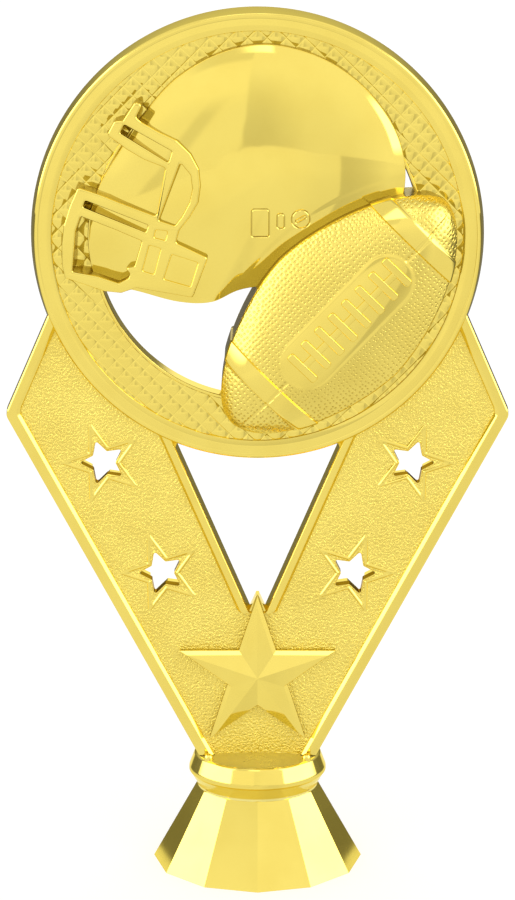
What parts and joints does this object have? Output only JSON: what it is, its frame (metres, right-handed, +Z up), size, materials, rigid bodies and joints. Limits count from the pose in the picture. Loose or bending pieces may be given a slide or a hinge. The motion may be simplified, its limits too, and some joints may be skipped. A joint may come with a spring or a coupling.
{
  "type": "trophy figure",
  "caption": "Gold-metallised plastic football trophy figure: helmet and ball in a ring on a starred V frame, with a skirted screw-on foot",
  "frame": {"origin": "middle of the skirt's rim, on the surface the figure stands on", "axes": "+X the figure's right as a viewer in front of it sees it, +Y towards its back, +Z up along the threaded hole's axis"},
  "size_m": [0.0878, 0.0376, 0.1524],
  "materials": {
    "gold_polished": "vacuum-metallised gold on smooth moulded plastic, mirror gloss",
    "gold_textured": "vacuum-metallised gold on pebbled or waffle-patterned moulded plastic, with smooth borders",
    "nut_steel": "zinc-plated steel hex nut"
  },
  "bodies": {
    "root": {"ring_front": "gold_textured", "ring_rear": "gold_polished", "v_frame_front": "gold_textured", "v_frame_rear": "gold_textured", "star_emblem": "gold_polished", "helmet_front_shell": "gold_polished", "helmet_rear_shell": "gold_polished", "face_mask": "gold_polished", "football_front_shell": "gold_textured", "football_rear_shell": "gold_textured", "football_lacing": "gold_polished", "dowels": "gold_polished", "collar_pins": "gold_polished", "collar": "gold_polished", "skirt": "gold_polished", "hex_nut": "nut_steel"}
  },
  "joints": []
}
